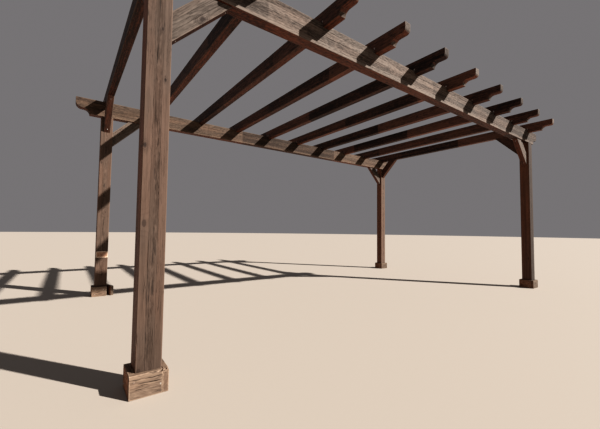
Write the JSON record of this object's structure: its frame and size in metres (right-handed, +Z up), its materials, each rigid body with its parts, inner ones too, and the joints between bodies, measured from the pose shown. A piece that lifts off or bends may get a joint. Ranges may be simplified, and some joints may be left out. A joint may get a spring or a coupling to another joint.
{
  "type": "wooden garden pergola",
  "caption": "Open post and beam garden pergola in laminated timber with knee braces, ogee cut beam and rafter ends and boarded post feet.",
  "frame": {"origin": "on the ground at the centre of the plan, between the four posts", "axes": "+X along the beams towards the right hand posts, +Y along the rafters towards the back beam, +Z up"},
  "size_m": [5.74, 3.374, 2.4],
  "materials": {
    "post_timber": "stained laminated pine, weathered grey-brown",
    "roof_timber": "stained laminated pine, weathered brown",
    "skirting_board": "worn pine board, stain mostly gone"
  },
  "bodies": {
    "root": {"post_front_left": "post_timber", "post_front_right": "post_timber", "post_back_left": "post_timber", "post_back_right": "post_timber", "beam_front": "roof_timber", "beam_back": "roof_timber", "rafter_01": "roof_timber", "rafter_02": "roof_timber", "rafter_03": "roof_timber", "rafter_04": "roof_timber", "rafter_05": "roof_timber", "rafter_06": "roof_timber", "rafter_07": "roof_timber", "rafter_08": "roof_timber", "rafter_09": "roof_timber", "rafter_10": "roof_timber", "beam_brace_front_left": "roof_timber", "rafter_brace_front_left": "roof_timber", "skirting_front_left_front": "skirting_board", "skirting_front_left_right": "skirting_board", "skirting_front_left_back": "skirting_board", "skirting_front_left_left": "skirting_board", "beam_brace_front_right": "roof_timber", "rafter_brace_front_right": "roof_timber", "skirting_front_right_front": "skirting_board", "skirting_front_right_right": "skirting_board", "skirting_front_right_back": "skirting_board", "skirting_front_right_left": "skirting_board", "beam_brace_back_left": "roof_timber", "rafter_brace_back_left": "roof_timber", "skirting_back_left_front": "skirting_board", "skirting_back_left_right": "skirting_board", "skirting_back_left_back": "skirting_board", "skirting_back_left_left": "skirting_board", "beam_brace_back_right": "roof_timber", "rafter_brace_back_right": "roof_timber", "skirting_back_right_front": "skirting_board", "skirting_back_right_right": "skirting_board", "skirting_back_right_back": "skirting_board", "skirting_back_right_left": "skirting_board"}
  },
  "joints": []
}
